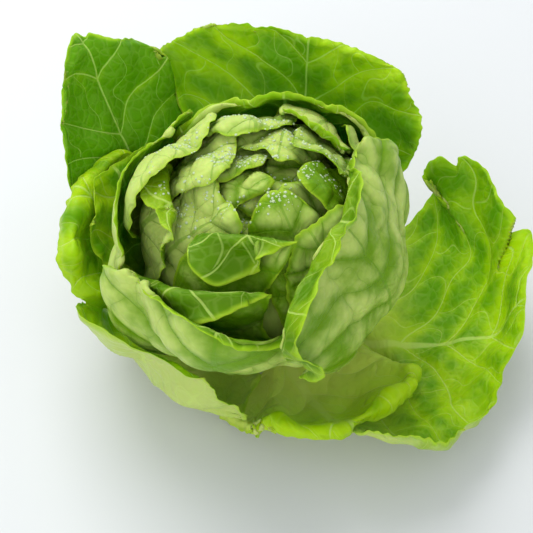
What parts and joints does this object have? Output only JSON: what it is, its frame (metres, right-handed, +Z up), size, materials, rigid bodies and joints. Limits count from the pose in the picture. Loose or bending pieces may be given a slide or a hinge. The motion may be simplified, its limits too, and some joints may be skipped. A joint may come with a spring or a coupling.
{
  "type": "head of butterhead lettuce",
  "caption": "Head of butterhead lettuce with a tight leaning ball of leaves, folded-out tips and loose outer leaves.",
  "frame": {"origin": "centre of the cut face of the butt", "axes": "+Z up out of the cut face, -Y the front, which the ball leans towards"},
  "size_m": [0.2384, 0.2123, 0.1424],
  "materials": {
    "outer_green": "fresh green leaf with a satin sheen",
    "inner_green": "pale yellow-green leaf with a satin sheen",
    "butt": "moist cream-white cut stem"
  },
  "bodies": {
    "root": {"crown_leaf_1": "inner_green", "crown_leaf_2": "inner_green", "crown_leaf_3": "inner_green", "crown_leaf_4": "inner_green", "crown_leaf_5": "inner_green", "crown_leaf_6": "inner_green", "crown_leaf_7": "inner_green", "crown_leaf_8": "inner_green", "crown_leaf_9": "inner_green", "crown_leaf_10": "inner_green", "crown_leaf_11": "inner_green", "crown_leaf_12": "inner_green", "heart": "inner_green", "wrapper_leaf_back": "inner_green", "wrapper_leaf_far_right": "inner_green", "wrapper_leaf_front": "inner_green", "wrapper_leaf_left": "inner_green", "wrapper_leaf_near": "inner_green", "wrapper_leaf_right": "inner_green", "outer_leaf_back": "outer_green", "outer_leaf_back_left": "outer_green", "outer_leaf_front": "outer_green", "outer_leaf_front_left": "outer_green", "outer_leaf_left": "outer_green", "outer_leaf_near_left": "outer_green", "outer_leaf_right": "outer_green", "stem": "butt"}
  },
  "joints": []
}
